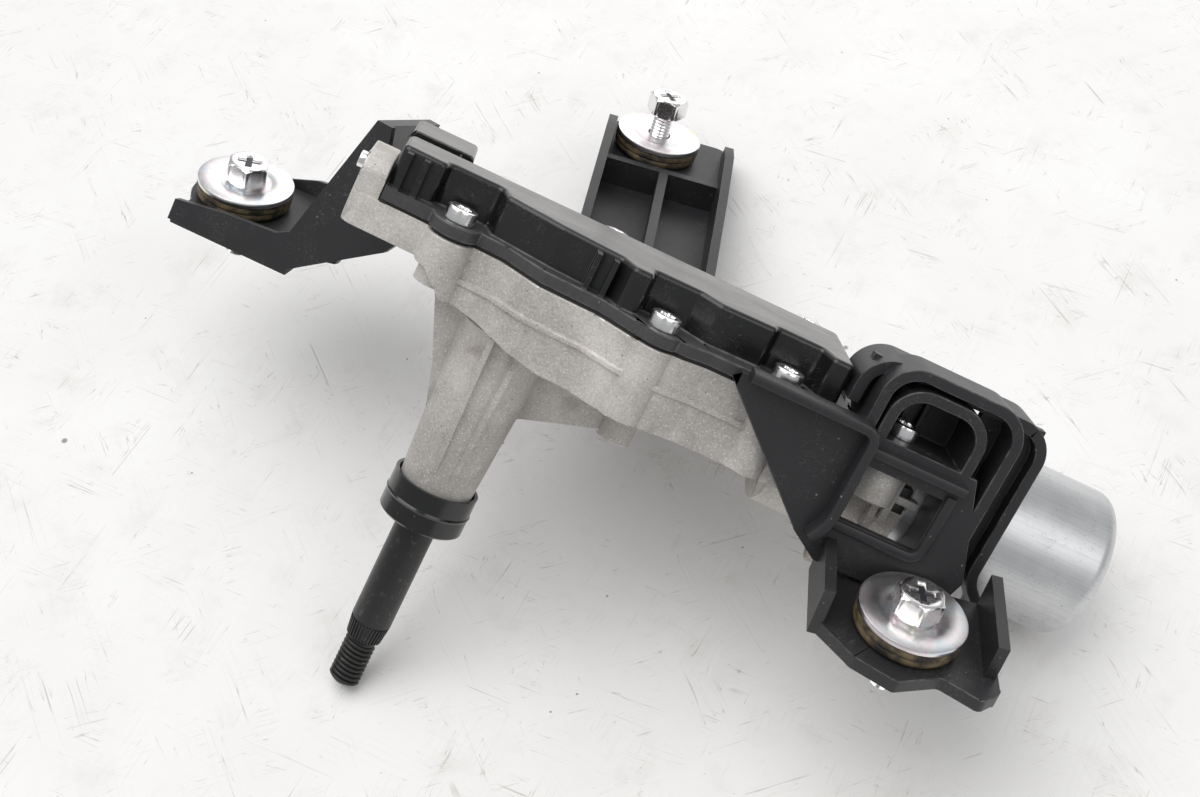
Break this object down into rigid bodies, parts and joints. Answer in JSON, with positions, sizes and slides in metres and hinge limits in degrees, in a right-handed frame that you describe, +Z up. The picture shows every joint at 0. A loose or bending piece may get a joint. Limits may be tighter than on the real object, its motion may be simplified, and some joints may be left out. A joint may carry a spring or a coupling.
{
  "type": "wiper motor",
  "caption": "Rear wiper motor: die-cast gear case with spindle tube, black cover and mounting arms on rubber-bushed bolts, and a cylindrical motor can.",
  "frame": {"origin": "on the output spindle's axis, where its plain part ends and the knurled cone starts", "axes": "+Z up the spindle towards the cover, +X towards the motor can, -Y towards the cover screws on the front edge"},
  "size_m": [0.2351, 0.1937, 0.1526],
  "materials": {
    "die_cast": "as-cast, matte, fine grain",
    "cover_plastic": "black, satin",
    "bracket_plastic": "black, moulded",
    "zinc_bright": "bright zinc plate, faint iridescence",
    "can_steel": "zinc-plated deep-drawn steel",
    "black_steel": "black oxide",
    "rubber": "black, matte",
    "board": "glass-filled board",
    "contact_bronze": "spring bronze",
    "sintered": "oil-filled sintered bronze",
    "steel": "machined",
    "gear_plastic": "natural acetal",
    "copper": "enamelled wire",
    "core_steel": "stacked laminations",
    "magnet": "sintered ferrite",
    "carbon": "pressed carbon"
  },
  "bodies": {
    "housing": {"gear_case": "die_cast", "cover_seal": "rubber", "gear_cover": "cover_plastic", "socket_blades": "contact_bronze", "park_board": "board", "park_contacts": "contact_bronze", "cover_screws": "zinc_bright", "end_screw": "zinc_bright", "spindle_seal": "rubber", "lower_bush": "sintered", "upper_bush": "sintered", "thrust_washer": "steel", "clip_washer": "steel", "dust_collar": "cover_plastic", "sector_pin": "steel", "wheel_axle": "steel", "motor_can": "can_steel", "motor_magnets": "magnet", "worm_end_bush": "sintered", "front_bush": "sintered", "rear_bush": "sintered", "brush_plate": "bracket_plastic", "carbon_brushes": "carbon", "brush_springs": "steel", "can_screws": "zinc_bright", "mount_washers": "zinc_bright", "mount_sleeves": "steel", "mount_grommets": "rubber", "left_bolt": "zinc_bright", "rear_bolt": "zinc_bright", "front_bolt": "zinc_bright", "left_arm": "bracket_plastic", "rear_arm": "bracket_plastic", "arm_screws": "zinc_bright", "front_bracket": "bracket_plastic", "bracket_screws": "zinc_bright"},
    "spindle": {"output_spindle": "black_steel", "output_pinion": "steel", "retaining_clip": "steel"},
    "sector": {"sector_lever": "steel", "link_pin": "steel"},
    "rod": {"connecting_rod": "steel", "crank_pin": "steel"},
    "wheel": {"worm_wheel": "gear_plastic", "park_ring": "contact_bronze"},
    "armature": {"worm_shaft": "steel", "armature_core": "core_steel", "armature_windings": "copper", "commutator": "copper"}
  },
  "joints": [
    {"name": "output_sweep", "type": "hinge", "parent": "housing", "child": "spindle", "pos_m": [0, 0, 0], "axis": [0, 0, 1], "range_deg": [0, 143.53]},
    {"name": "sector_swing", "type": "hinge", "parent": "housing", "child": "sector", "pos_m": [0.02467, 0.00898, 0.091], "axis": [0, 0, 1], "range_deg": [-57.41, 0]},
    {"name": "rod_swing", "type": "hinge", "parent": "sector", "child": "rod", "pos_m": [0.01043, 0.01827, 0.095], "axis": [0, 0, 1], "range_deg": [0, 46.62]},
    {"name": "armature_spin", "type": "hinge", "parent": "housing", "child": "armature", "pos_m": [0.1, 0, 0.0853], "axis": [1, 0, 0], "continuous": true},
    {"name": "wheel_spin", "type": "hinge", "parent": "housing", "child": "wheel", "pos_m": [0.047, 0.027, 0.0853], "axis": [0, 0, 1], "continuous": true}
  ],
  "couplings": [
    {"joint": "sector_swing", "follows": "output_sweep", "ratio": -0.4},
    {"joint": "rod_swing", "follows": "output_sweep", "ratio": 0.32482},
    {"joint": "wheel_spin", "follows": "armature_spin", "ratio": -0.02}
  ]
}
